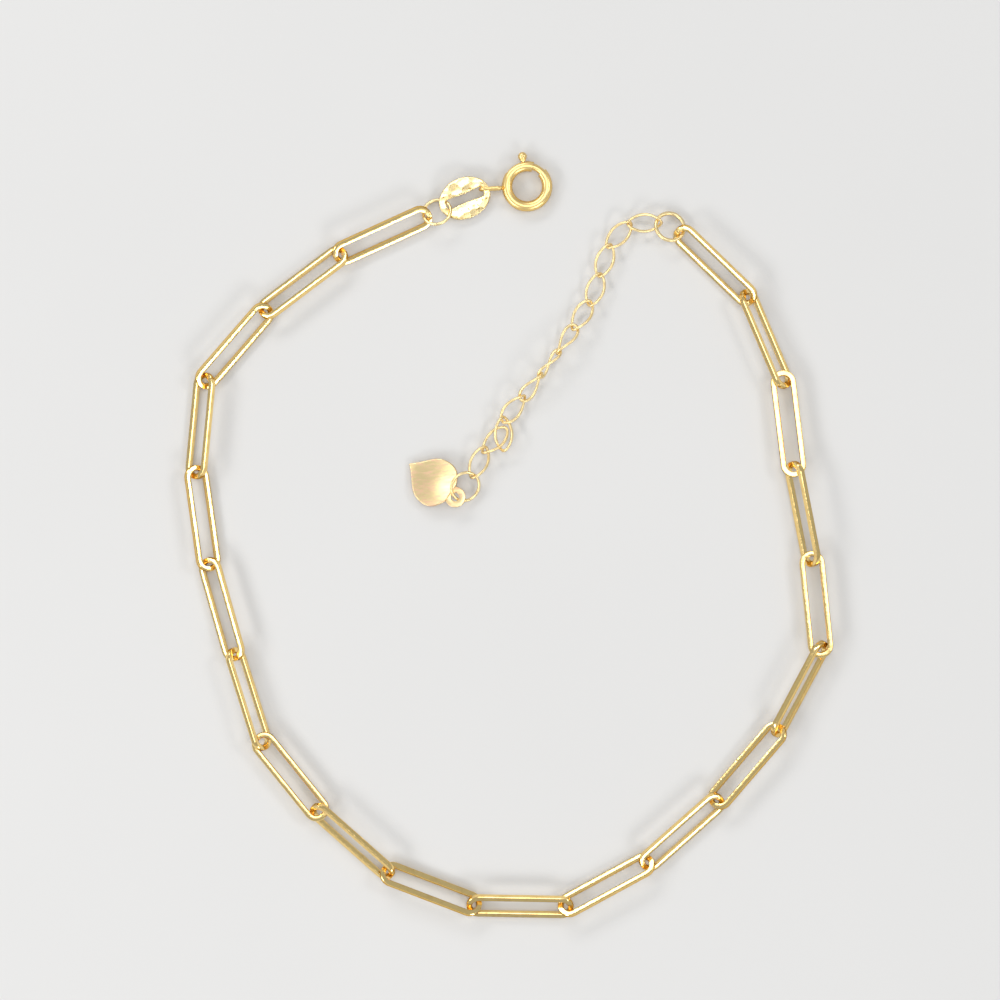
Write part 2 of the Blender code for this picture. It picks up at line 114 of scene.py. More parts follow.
class BraceletSizes(bpy.types.PropertyGroup):
    """Sizes of the bracelet's pieces"""

    link_length: length_of("Link length", "Paperclip link, outside length", 10.7)
    link_width: length_of("Link width", "Paperclip link, outside width", 2.5)
    link_wire: length_of("Link wire", "Side of the paperclip link's square wire", 0.54)
    link_edge: length_of("Link edge", "Width of the link's broken edges", 0.13)
    ring_a_diameter: length_of("Ring A diameter", "Jump ring on the plate, outside diameter", 3.1)
    ring_a_wire: length_of("Ring A wire", "Wire of the jump ring on the plate", 0.30)
    ring_b_diameter: length_of("Ring B diameter", "Jump ring on the extender, outside", 3.25)
    ring_b_wire: length_of("Ring B wire", "Wire of the jump ring on the extender", 0.36)
    end_ring_diameter: length_of("End ring diameter", "Ring on the tag, outside diameter", 3.2)
    end_ring_wire: length_of("End ring wire", "Wire of the ring on the tag", 0.27)
    ring_kerf: length_of("Ring kerf", "Width of the saw cut where a ring closes", 0.03)
    extender_length: length_of("Extender link length", "Outside length", 3.65)
    extender_width: length_of("Extender link width", "Outside width", 1.95)
    extender_wire: length_of("Extender wire", "Wire of the extender links", 0.27)
    extender_twist: angle_of("Extender twist", "Turn from one end of a link to the other", 90.0)
    plate_length: length_of("Plate length", "Oval plate, long way", 5.3)
    plate_width: length_of("Plate width", "Oval plate, short way", 4.1)
    plate_thickness: length_of("Plate thickness", "Oval plate at its crown", 0.24)
    plate_edge: length_of("Plate edge", "Width of the plate's rounded edges", 0.10)
    plate_grain: length_of("Plate grain", "Spacing of the mesh that takes the hammer marks", 0.035)
    hammer_mark: length_of("Hammer mark", "Width of a hammer mark", 0.95)
    hammer_depth: length_of("Hammer depth", "Depth of a hammer mark", 0.07)
    plate_slot_length: length_of("Slot length", "Slot in the plate, long way", 4.0)
    plate_slot_width: length_of("Slot width", "Slot in the plate at its ends", 1.15)
    clasp_diameter: length_of("Clasp diameter", "Spring ring, outside diameter", 5.0)
    clasp_tube: length_of("Clasp tube", "Tube of the spring ring, outside", 1.0)
    clasp_bore: length_of("Clasp bore", "Bore of the spring ring's tube", 0.74)
    bore_outward: length_of("Bore outward", "How far the bore lies off the tube's middle", 0.03)
    bolt_rod: length_of("Bolt rod", "Diameter of the sliding bolt", 0.64)
    bolt_outward: length_of("Bolt outward", "How far the bolt lies off the tube's middle", 0.04)
    bolt_rounding: length_of("Bolt rounding", "Rounding of the bolt's two ends", 0.08)
    gate_start: angle_of("Gate start", "Where the gate opens", 43.0)
    gate_end: angle_of("Gate end", "Where the gate closes", 74.0)
    bolt_tip: angle_of("Bolt tip", "Where the bolt's tip rests", 34.0)
    bolt_tail: angle_of("Bolt tail", "Where the bolt ends in the tube", 122.0)
    lever_angle: angle_of("Lever angle", "Where the lever's knob stands", 99.0)
    lever_travel: angle_of("Lever travel", "How far the lever slides", 42.0)
    knob_diameter: length_of("Knob diameter", "Ball on the lever", 0.86)
    knob_gap: length_of("Knob gap", "Gap between the knob and the tube", 0.09)
    stem_diameter: length_of("Stem diameter", "Pin between the bolt and the knob", 0.36)
    neck_diameter: length_of("Neck diameter", "Neck under the knob", 0.60)
    neck_gap: length_of("Neck gap", "Gap between the neck and the tube", 0.05)
    slot_clearance: length_of("Slot clearance", "Gap at each side of the stem", 0.09)
    eyelet_angle: angle_of("Eyelet angle", "Where the eyelet stands on the ring", 184.0)
    eyelet_reach: length_of("Eyelet length", "Eyelet, outside length", 2.56)
    eyelet_height: length_of("Eyelet height", "Eyelet, outside height", 1.3)
    eyelet_wire: length_of("Eyelet wire", "Wire of the clasp's eyelet", 0.34)
    eyelet_sunk: length_of("Eyelet sunk", "How deep the eyelet is soldered in", 0.22)
    tag_length: length_of("Tag length", "Heart tag from its eyelet's middle to its point", 5.76)
    tag_width: length_of("Tag width", "Heart tag, widest", 4.9)
    tag_thickness: length_of("Tag thickness", "Heart tag", 0.3)
    tag_edge: length_of("Tag edge", "Width of the heart's rounded edge", 0.08)
    tag_grain: length_of("Tag grain", "Spacing of the mesh that takes the heart's crown", 0.05)
    tag_crown: length_of("Tag crown", "How far the heart's face swells", 0.22)
    tag_crown_place: length_of("Tag crown place", "Where the face is highest, from the eyelet", 2.3)
    tag_crown_reach: length_of("Tag crown reach", "How far the swelling spreads", 2.94)
    tag_eyelet_diameter: length_of("Tag eyelet", "Tag's eyelet, outside diameter", 2.05)
    tag_eyelet_thickness: length_of("Tag eyelet thickness", "Tag's eyelet", 0.22)
    tag_eyelet_edge: length_of("Tag eyelet edge", "Width of the eyelet's rounded edges", 0.06)
    tag_hole: length_of("Tag hole", "Hole in the tag's eyelet", 0.86)


class BraceletFinish(bpy.types.PropertyGroup):
    """Colours and light"""

    gold: colour_of("Gold", "Polished yellow gold", 1.0, 0.74, 0.31)
    deep_gold: colour_of("Deep gold", "Gold in its darker clouds", 0.74, 0.48, 0.16)
    # Pale gold is the polished gold made paler. It paints pale highlights into the colour of the
    # plate, the tag, the rings and the fine wire.
    highlight_pale_gold: colour_of("Pale gold", "Gold of the hammered and brushed faces", 1.0, 0.80, 0.42)
    rosy_gold: colour_of("Rosy gold", "Gold in the streaks of the brushed tag", 0.93, 0.55, 0.40)
    edge_gold: colour_of("Edge gold", "Tint of glancing reflections", 0.52, 0.30, 0.08)
    table: colour_of("Table", "The pale table", 0.68, 0.67, 0.655)
    key_power: power_of("Key light", "Power of the softbox above", 0.55)
    side_power: power_of("Side light", "Power of a side strip, before its share", 0.45)
    room: FloatProperty(
        name="Room light", description="Brightness of the room", default=0.58, min=0.0
    )
    bend_steps: count_of("Bend steps", "Steps round a half bend", 24)
    wire_sides: count_of("Wire sides", "Sides of a round wire", 20)


def sizes():
    return bpy.context.scene.bracelet_sizes


def finish():
    return bpy.context.scene.bracelet_finish


# Modelling by operators

def leave_all():
    if bpy.context.object is not None and bpy.context.object.mode != "OBJECT":
        bpy.ops.object.mode_set(mode="OBJECT")
    bpy.ops.object.select_all(action="DESELECT")


def pick_only(*objects):
    leave_all()
    for obj in objects:
        obj.select_set(True)
    bpy.context.view_layer.objects.active = objects[-1]


def edit_all(kind="FACE"):
    """Opens the active object in edit mode with all of it selected."""
    bpy.ops.object.mode_set(mode="EDIT")
    bpy.ops.mesh.select_mode(type=kind)
    bpy.ops.mesh.select_all(action="SELECT")


def end_edit():
    bpy.ops.object.mode_set(mode="OBJECT")


def raise_selected(height):
    bpy.ops.mesh.extrude_region_move(TRANSFORM_OT_translate={"value": (0, 0, height)})


def apply_place(obj):
    pick_only(obj)
    bpy.ops.object.transform_apply(location=True, rotation=True, scale=True)


def disc(name, sides, radius, middle, turn):
    """A filled circle, the end face of a round wire."""
    leave_all()
    bpy.ops.mesh.primitive_circle_add(
        vertices=sides, radius=radius, fill_type="NGON", location=middle, rotation=turn
    )
    obj = bpy.context.object
    obj.name = name
    apply_place(obj)
    return obj


def square(name, side, middle, turn):
    """The end face of a square wire."""
    leave_all()
    bpy.ops.mesh.primitive_plane_add(size=side, location=middle, rotation=turn)
    obj = bpy.context.object
    obj.name = name
    apply_place(obj)
    return obj


def select_faces(obj, wanted):
    """In edit mode, selects only the faces whose middle and normal satisfy the test."""
    bpy.ops.mesh.select_mode(type="FACE")
    bpy.ops.mesh.select_all(action="DESELECT")
    mesh = bmesh.from_edit_mesh(obj.data)
    for face in mesh.faces:
        if wanted(face.calc_center_median(), face.normal):
            face.select_set(True)
    bmesh.update_edit_mesh(obj.data)


def select_points(obj, wanted):
    """In edit mode, selects only the vertices whose place satisfies the test."""
    bpy.ops.mesh.select_mode(type="VERT")
    bpy.ops.mesh.select_all(action="DESELECT")
    mesh = bmesh.from_edit_mesh(obj.data)
    for point in mesh.verts:
        if wanted(point.co):
            point.select_set(True)
    mesh.select_flush(True)
    bmesh.update_edit_mesh(obj.data)


def tidy_shell(obj):
    """Merges doubles and turns every face outwards."""
    pick_only(obj)
    edit_all()
    bpy.ops.mesh.remove_doubles(threshold=SAME_PLACE)
    bpy.ops.mesh.normals_make_consistent(inside=False)
    end_edit()


def add_modifier(obj, kind, **settings):
    """Adds a modifier, sets it and applies it."""
    modifier = obj.modifiers.new(kind.title(), kind)
    for key, value in settings.items():
        setattr(modifier, key, value)
    pick_only(obj)
    bpy.ops.object.modifier_apply(modifier=modifier.name)


def round_edges(obj, width, segments, sharper_than=50.0, profile=0.5):
    """Bevels the edges that turn by more than an angle in degrees."""
    add_modifier(obj, "BEVEL", width=width, segments=segments, limit_method="ANGLE",
                 angle_limit=math.radians(sharper_than), profile=profile)


def cut_with(obj, tool):
    add_modifier(obj, "BOOLEAN", operation="DIFFERENCE", object=tool, solver="EXACT")
    bpy.data.objects.remove(tool, do_unlink=True)


def solder(obj, other):
    add_modifier(obj, "BOOLEAN", operation="UNION", object=other, solver="EXACT")
    bpy.data.objects.remove(other, do_unlink=True)


def smooth(obj, degrees=30.0):
    pick_only(obj)
    bpy.ops.object.shade_smooth_by_angle(angle=math.radians(degrees), keep_sharp_edges=False)


def spin_about(middle, steps, angle):
    """Spins what is selected counterclockwise from above; with no window that needs this axis."""
    bpy.ops.mesh.spin(steps=steps, angle=angle, center=middle, axis=(0, 0, -1))


def spin_on(steps, angle):
    spin_about((0, 0, 0), steps, angle)


def bend_link(obj, length, width, wire):
    """Draws the wire's end face round one bend, straight back, round the other and closed."""
    radius = (width - wire) / 2
    reach = (length - width) / 2
    steps = finish().bend_steps
    pick_only(obj)
    edit_all()
    spin_about((reach, 0, 0), steps, math.pi)
    for _ in range(4):
        bpy.ops.mesh.extrude_region_move(TRANSFORM_OT_translate={"value": (-reach / 2, 0, 0)})
    spin_about((-reach, 0, 0), steps, math.pi)
    nearly = 1e-6
    select_faces(
        obj,
        lambda middle, normal: abs(normal.x) > 0.99
        and abs(abs(middle.x) - reach) < nearly
        and abs(middle.y + radius) < nearly,
    )
    bpy.ops.mesh.bridge_edge_loops(number_cuts=3)
    end_edit()
    tidy_shell(obj)


def round_ring(name, diameter, wire, kerf):
    """A ring of round wire, closed but for its saw cut."""
    radius = (diameter - wire) / 2
    obj = disc(name, finish().wire_sides, wire / 2, (radius, 0, 0), (QUARTER_TURN, 0, 0))
    edit_all()
    spin_on(3 * finish().bend_steps, 2 * math.pi - kerf / radius)
    end_edit()
    tidy_shell(obj)
    return obj


def grow(obj, factor):
    """Enlarges an object about the origin."""
    pick_only(obj)
    bpy.ops.transform.resize(value=(factor, factor, factor), center_override=(0, 0, 0))
    apply_place(obj)


def curve_through(points):
    """More points on a smooth line through those given."""
    row = [np.array(p) for p in points]
    row = [2 * row[0] - row[1]] + row + [2 * row[-1] - row[-2]]
    made = []
    for a, b, c, d in zip(row, row[1:], row[2:], row[3:]):
        for k in range(CURVE_STEPS):
            t = k / CURVE_STEPS
            made.append(0.5 * (2 * b + (c - a) * t + (2 * a - 5 * b + 4 * c - d) * t**2
                               + (3 * b - a - 3 * c + d) * t**3))
    made.append(row[-2])
    return made


def raised_outline(name, outline, base, height):
    """One point is drawn round the outline, which is filled and raised."""
    leave_all()
    bpy.ops.mesh.primitive_plane_add(size=MM, location=(0, 0, 0))
    obj = bpy.context.object
    obj.name = name
    edit_all("VERT")
    bpy.ops.mesh.merge(type="CENTER")
    bpy.ops.transform.translate(value=(*outline[0], base))
    for before, after in zip(outline, outline[1:]):
        step = np.array(after) - np.array(before)
        bpy.ops.mesh.extrude_vertices_move(TRANSFORM_OT_translate={"value": (*step, 0)})
    bpy.ops.mesh.select_all(action="SELECT")
    bpy.ops.mesh.edge_face_add()
    raise_selected(height)
    end_edit()
    tidy_shell(obj)
    return obj


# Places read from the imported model

def lie_of(node):
    """Middle and axes of a node's surface, longest way first, shortest last."""
    mesh = NODES[node].data
    mesh.calc_loop_triangles()
    points = np.array([v.co[:] for v in mesh.vertices])
    corners = points[np.array([t.vertices[:] for t in mesh.loop_triangles])]
    sides = corners[:, 1:] - corners[:, :1]
    areas = np.linalg.norm(np.cross(sides[:, 0], sides[:, 1]), axis=1) / 2
    means = corners.mean(axis=1)
    middle = (areas[:, None] * means).sum(axis=0) / areas.sum()
    spread = np.zeros((3, 3))
    for weight, triangle in zip(areas, corners - middle):
        whole = triangle.sum(axis=0)
        spread += weight * (triangle.T @ triangle + np.outer(whole, whole)) / 12
    values, axes = np.linalg.eigh(spread)
    long_way = Vector(axes[:, 2])
    flat_way = Vector(axes[:, 1])
    if long_way.cross(flat_way).z < 0:
        flat_way = -flat_way
    return Vector(middle), long_way, flat_way, long_way.cross(flat_way)


def nodes_called(start):
    return [name for name in sorted(NODES) if name.startswith(start)]


def pose(middle, long_way, flat_way, upward):
    """The place whose x, y and z run the three ways given."""
    return Matrix.Translation(middle) @ Matrix((long_way, flat_way, upward)).transposed().to_4x4()


def lay(model, name, place, material, body=BODY):
    """Puts a copy of a model in its place, with its own mesh, and rides it on its body."""
    data = model.data.copy()
    data.name = name
    data.transform(place)
    obj = bpy.data.objects.new(name, data)
    bpy.context.scene.collection.objects.link(obj)
    data.materials.clear()
    data.materials.append(material)
    obj.name = name + "_piece"
    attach(obj, body)
    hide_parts(name)
    return obj


# Effects shared by the finishes

# How far the hammer marks stray from their even spacing, in metres
WANDERING = 0.4 * MM


def effect(name, inputs, outputs):
    """A node group with its sockets, its input node and its output node."""
    group = bpy.data.node_groups.new(name, "ShaderNodeTree")
    add_socket = group.interface.new_socket
    for label, kind, default in inputs:
        socket = add_socket(name=label, in_out="INPUT", socket_type="NodeSocket" + kind)
        socket.default_value = default
    for label, kind in outputs:
        add_socket(name=label, in_out="OUTPUT", socket_type="NodeSocket" + kind)
    return group, group.nodes.new("NodeGroupInput"), group.nodes.new("NodeGroupOutput")


def fill(tree, made, sources):
    """Gives inputs of a node, by name or number, the socket that feeds each or a plain value."""
    for slot, source in dict(sources).items():
        if isinstance(source, bpy.types.NodeSocket):
            tree.links.new(source, made.inputs[slot])
        else:
            made.inputs[slot].default_value = source


def node(tree, kind, sources=(), **settings):
    """Adds a node with its settings and the sources of its inputs."""
    made = tree.nodes.new("ShaderNode" + kind)
    for key, value in settings.items():
        setattr(made, key, value)
    fill(tree, made, sources)
    return made


def mix_colours(tree, factor, first, second):
    """A mix of two colours; a Mix node has them at its inputs 6 and 7 and puts it out at 2."""
    made = node(tree, "Mix", [("Factor", factor), (6, first), (7, second)], data_type="RGBA")
    return made.outputs[2]


def tone_effect():
    """Clouds of deeper gold in the polish, with a little more roughness where they lie."""
    group, given, result = effect(
        "Gold clouds",
        [("Place", "Vector", (0, 0, 0)), ("Scale", "Float", 600.0),
         ("Light", "Color", (1, 1, 1, 1)), ("Deep", "Color", (0, 0, 0, 1)),
         ("Amount", "Float", 0.5), ("Smooth", "Float", 0.1), ("Rough", "Float", 0.3)],
        [("Color", "Color"), ("Roughness", "Float")],
    )
    clouds = node(group, "TexNoise", [
        ("Vector", given.outputs["Place"]), ("Scale", given.outputs["Scale"]),
        ("Detail", 4.0), ("Roughness", 0.6),
    ])
    edge = node(group, "MapRange", [
        ("Value", clouds.outputs["Fac"]), ("From Min", 0.45), ("From Max", 0.75),
    ])
    mask = node(group, "Math", [
        (0, edge.outputs["Result"]), (1, given.outputs["Amount"]),
    ], operation="MULTIPLY").outputs[0]
    colour = mix_colours(group, mask, given.outputs["Light"], given.outputs["Deep"])
    rough = node(group, "MapRange", [
        ("Value", mask), ("To Min", given.outputs["Smooth"]), ("To Max", given.outputs["Rough"]),
    ])
    group.links.new(colour, result.inputs["Color"])
    group.links.new(rough.outputs["Result"], result.inputs["Roughness"])
    return group


def handling_effect():
    """Hairlines and tiny waves that polishing and wear leave in gold."""
    group, given, result = effect(
        "Polish marks",
        [("Place", "Vector", (0, 0, 0)), ("Wave scale", "Float", 900.0),
         ("Wave depth", "Float", 0.01), ("Hairline depth", "Float", 0.01)],
        [("Normal", "Vector")],
    )
    waves = node(group, "TexNoise", [
        ("Vector", given.outputs["Place"]), ("Scale", given.outputs["Wave scale"]), ("Detail", 1.0),
    ])
    drawn_out = node(group, "Mapping", [
        ("Vector", given.outputs["Place"]), ("Scale", (900.0, 9000.0, 2500.0)),
        ("Rotation", (0.3, 0.2, 0.7)),
    ])
    hairlines = node(group, "TexNoise", [
        ("Vector", drawn_out.outputs[0]), ("Scale", 1.0), ("Detail", 2.0),
    ])
    waved = node(group, "Bump", [
        ("Height", waves.outputs["Fac"]), ("Strength", 1.0),
        ("Distance", given.outputs["Wave depth"]),
    ])
    lined = node(group, "Bump", [
        ("Height", hairlines.outputs["Fac"]), ("Strength", 1.0),
        ("Distance", given.outputs["Hairline depth"]), ("Normal", waved.outputs["Normal"]),
    ])
    group.links.new(lined.outputs["Normal"], result.inputs["Normal"])
    return group


def hammer_effect():
    """Small hammer marks side by side, with a mask of a few dark flecks."""
    group, given, result = effect(
        "Hammer marks",
        [("Place", "Vector", (0, 0, 0)), ("Scale", "Float", 1500.0), ("Depth", "Float", 0.02)],
        [("Normal", "Vector"), ("Fleck", "Float")],
    )
    wander = node(group, "TexNoise", [("Vector", given.outputs["Place"]), ("Scale", 1800.0)])
    # Of vectors, a Mix node takes its two at inputs 4 and 5 and puts the mix out at 1
    pushed = node(group, "Mix", [
        ("Factor", WANDERING), (4, given.outputs["Place"]), (5, wander.outputs["Color"]),
    ], data_type="VECTOR").outputs[1]
    marks = node(group, "TexVoronoi", [
        ("Vector", pushed), ("Scale", given.outputs["Scale"]),
    ], feature="SMOOTH_F1")
    beaten = node(group, "Bump", [
        ("Height", marks.outputs["Distance"]), ("Strength", 1.0),
        ("Distance", given.outputs["Depth"]),
    ])
    specks = node(group, "TexNoise", [
        ("Vector", given.outputs["Place"]), ("Scale", 3600.0), ("Detail", 1.0),
    ])
    fleck = node(group, "MapRange", [
        ("Value", specks.outputs["Fac"]), ("From Min", 0.63), ("From Max", 0.72),
    ])
    group.links.new(beaten.outputs["Normal"], result.inputs["Normal"])
    group.links.new(fleck.outputs["Result"], result.inputs["Fleck"])
    return group


def effects():
    """The shared effects, made once."""
    makers = {
        "Gold clouds": tone_effect,
        "Polish marks": handling_effect,
        "Hammer marks": hammer_effect,
    }
    return {name: bpy.data.node_groups.get(name) or make() for name, make in makers.items()}


def gold_finish(name, light, deep, clouds, cloud_share, smoothest, roughest,
                waves=900.0, wave_depth=0.0, hairline_depth=0.0, marks=0.0, mark_depth=0.0,
                streak=1.0, streak_way=0.0):
    """A gold with its own clouds of a deeper gold and either polish marks or hammer marks.

    Clouds, waves and hammer marks are counted per metre. A streak draws them all out that many
    times, along a way that is an angle from x.
    """
    made = bpy.data.materials.get(name)
    if made is not None:
        return made
    shared = effects()
    edge_gold = (*finish().edge_gold, 1.0)
    made = bpy.data.materials.new(name)
    made.use_nodes = True
    tree = made.node_tree
    shader = tree.nodes["Principled BSDF"]
    shader.inputs["Metallic"].default_value = 1.0
    shader.inputs["Specular Tint"].default_value = edge_gold
    where = node(tree, "TexCoord")
    drawn_out = node(tree, "Mapping", [
        ("Vector", where.outputs["Object"]), ("Rotation", (0.0, 0.0, streak_way)),
        ("Scale", (streak, 1.0, 1.0)),
    ], vector_type="TEXTURE")
    place = drawn_out.outputs[0]
    tone = node(tree, "Group", node_tree=shared["Gold clouds"])
    fill(tree, tone, {
        "Place": place, "Scale": clouds, "Light": (*light, 1.0), "Deep": (*deep, 1.0),
        "Amount": cloud_share, "Smooth": smoothest, "Rough": roughest,
    })
    tree.links.new(tone.outputs["Roughness"], shader.inputs["Roughness"])
    if marks:
        beaten = node(tree, "Group", node_tree=shared["Hammer marks"])
        fill(tree, beaten, {"Place": place, "Scale": marks, "Depth": mark_depth})
        flecked = mix_colours(tree, beaten.outputs["Fleck"], tone.outputs["Color"], edge_gold)
        tree.links.new(flecked, shader.inputs["Base Color"])
        tree.links.new(beaten.outputs["Normal"], shader.inputs["Normal"])
    else:
        polished = node(tree, "Group", node_tree=shared["Polish marks"])
        fill(tree, polished, {
            "Place": place, "Wave scale": waves, "Wave depth": wave_depth,
            "Hairline depth": hairline_depth,
        })
        tree.links.new(tone.outputs["Color"], shader.inputs["Base Color"])
        tree.links.new(polished.outputs["Normal"], shader.inputs["Normal"])
    return made


class BRACELET_OT_paperclip_links(bpy.types.Operator):
    """Models one paperclip link of square wire and lays all twenty"""

    bl_idname = "bracelet.paperclip_links"
    bl_label = "Paperclip Links"

    def execute(self, context):
        s = sizes()
        f = finish()
        reach = (s.link_length - s.link_width) / 2
        radius = (s.link_width - s.link_wire) / 2
        link = square("link", s.link_wire, (reach, -radius, 0), (0, QUARTER_TURN, 0))
        bend_link(link, s.link_length, s.link_width, s.link_wire)
        round_edges(link, s.link_edge, segments=3, profile=0.6)
        smooth(link, 25.0)
        material = gold_finish(
            "Polished link gold", f.gold, f.deep_gold, clouds=1400.0, cloud_share=0.55,
            smoothest=0.12, roughest=0.32, waves=2600.0, wave_depth=0.008 * MM,
            hairline_depth=0.003 * MM,
        )
        for name in nodes_called("paperclip_link"):
            lay(link, name, pose(*lie_of(name)), material)
        bpy.data.objects.remove(link, do_unlink=True)
        return {"FINISHED"}


class BRACELET_OT_rings(bpy.types.Operator):
    """Models the two jump rings and the end ring, each with its fine saw cut"""

    bl_idname = "bracelet.rings"
    bl_label = "Jump Rings and End Ring"

    def execute(self, context):
        s = sizes()
        f = finish()
        # The rings' gold is the pale gold, a painted highlight.
        material = gold_finish(
            "Polished ring gold", f.highlight_pale_gold, f.gold, clouds=500.0, cloud_share=0.3,
            smoothest=0.34, roughest=0.42, wave_depth=0.001 * MM,
        )
        for name, diameter, wire in (
            ("jump_ring_a", s.ring_a_diameter, s.ring_a_wire),
            ("jump_ring_b", s.ring_b_diameter, s.ring_b_wire),
            ("end_ring", s.end_ring_diameter, s.end_ring_wire),
        ):
            ring = round_ring(name, diameter, wire, s.ring_kerf)
            smooth(ring)
            lay(ring, name, pose(*lie_of(name)), material)
            bpy.data.objects.remove(ring, do_unlink=True)
        return {"FINISHED"}


class BRACELET_OT_extender(bpy.types.Operator):
    """Models one twisted extender link and lays all twelve"""

    bl_idname = "bracelet.extender"
    bl_label = "Extender Chain"

    def execute(self, context):
        s = sizes()
        f = finish()
        link = self.oval(s)
        whole_twist = s.extender_twist * s.extender_length / (s.extender_length - s.extender_wire)
        add_modifier(link, "SIMPLE_DEFORM", deform_method="TWIST", deform_axis="X",
                     angle=whole_twist)
        smooth(link)
        # The extender's gold is the pale gold, a painted highlight.
        material = gold_finish(
            "Fine wire gold", f.highlight_pale_gold, f.gold, clouds=500.0, cloud_share=0.3,
            smoothest=0.38, roughest=0.46, wave_depth=0.001 * MM,
        )
        for name in nodes_called("extender_link"):
            lay(link, name, pose(*lie_of(name)), material)
        bpy.data.objects.remove(link, do_unlink=True)
        return {"FINISHED"}

    def oval(self, s):
        """A circle is drawn out to an ellipse, made a curve and given the wire's thickness."""
        long_way = (s.extender_length - s.extender_wire) / 2
        short_way = (s.extender_width - s.extender_wire) / 2
        leave_all()
        bpy.ops.mesh.primitive_circle_add(vertices=OVAL_SIDES, radius=short_way)
        obj = bpy.context.object
        edit_all("VERT")
        bpy.ops.transform.resize(value=(long_way / short_way, 1, 1))
        end_edit()
        bpy.ops.object.convert(target="CURVE")
        obj.data.bevel_depth = s.extender_wire / 2
        obj.data.bevel_resolution = OVAL_WIRE_STEPS
        bpy.ops.object.convert(target="MESH")
        tidy_shell(obj)
        return obj


# A quarter of the slot's outline, from halfway to its end, in shares of half length and half width
SLOT_QUARTER = (
    (0.0, 0.70), (0.30, 0.73), (0.55, 0.79), (0.75, 0.85), (0.87, 0.83), (0.95, 0.68), (0.99, 0.38),
    (1.0, 0.0),
)


class BRACELET_OT_oval_plate(bpy.types.Operator):
    """Models the hammered oval plate with its slot"""

    bl_idname = "bracelet.oval_plate"
    bl_label = "Oval Plate"

    def execute(self, context):
        s = sizes()
        f = finish()
        plate = self.slab(s.plate_length, s.plate_width, s.plate_thickness)
        slot = self.slot(s)
        cut_with(plate, slot)
        round_edges(plate, s.plate_edge, segments=4)
        grow(plate, WORK_SCALE)
        add_modifier(plate, "REMESH", mode="VOXEL", voxel_size=s.plate_grain * WORK_SCALE)
        self.beat(plate, s)
        grow(plate, 1 / WORK_SCALE)
        smooth(plate, 60.0)
        # The plate's gold is the pale gold, a painted highlight.
        material = gold_finish(
            "Hammered plate gold", f.highlight_pale_gold, f.gold, clouds=1500.0, cloud_share=0.8,
            smoothest=0.20, roughest=0.36, marks=2600.0, mark_depth=0.004 * MM,
        )
        lay(plate, "oval_plate", pose(*lie_of("oval_plate")), material)
        bpy.data.objects.remove(plate, do_unlink=True)
        return {"FINISHED"}

    def slab(self, length, width, thickness):
        obj = disc("plate", PLATE_SIDES, width / 2, (0, 0, -thickness / 2), (0, 0, 0))
        edit_all()
        bpy.ops.transform.resize(value=(length / width, 1, 1))
        raise_selected(thickness)
        end_edit()
        tidy_shell(obj)
        return obj

    def slot(self, s):
        quarter = [(x * s.plate_slot_length / 2, y * s.plate_slot_width / 2)
                   for x, y in curve_through(SLOT_QUARTER)]
        right = quarter + [(x, -y) for x, y in reversed(quarter[:-1])]
        outline = right + [(-x, y) for x, y in reversed(right[1:-1])]
        thickness = s.plate_thickness
        return raised_outline("plate_slot", outline, -thickness, 2 * thickness)

    def beat(self, obj, s):
        """Presses hammer marks into the faces."""
        marks = bpy.data.textures.new("Hammer blows", "VORONOI")
        marks.noise_scale = s.hammer_mark * WORK_SCALE
        marks.noise_intensity = 1.0
        add_modifier(obj, "DISPLACE", texture=marks, texture_coords="LOCAL", mid_level=0.6,
                     strength=s.hammer_depth * WORK_SCALE)
        bpy.data.textures.remove(marks)


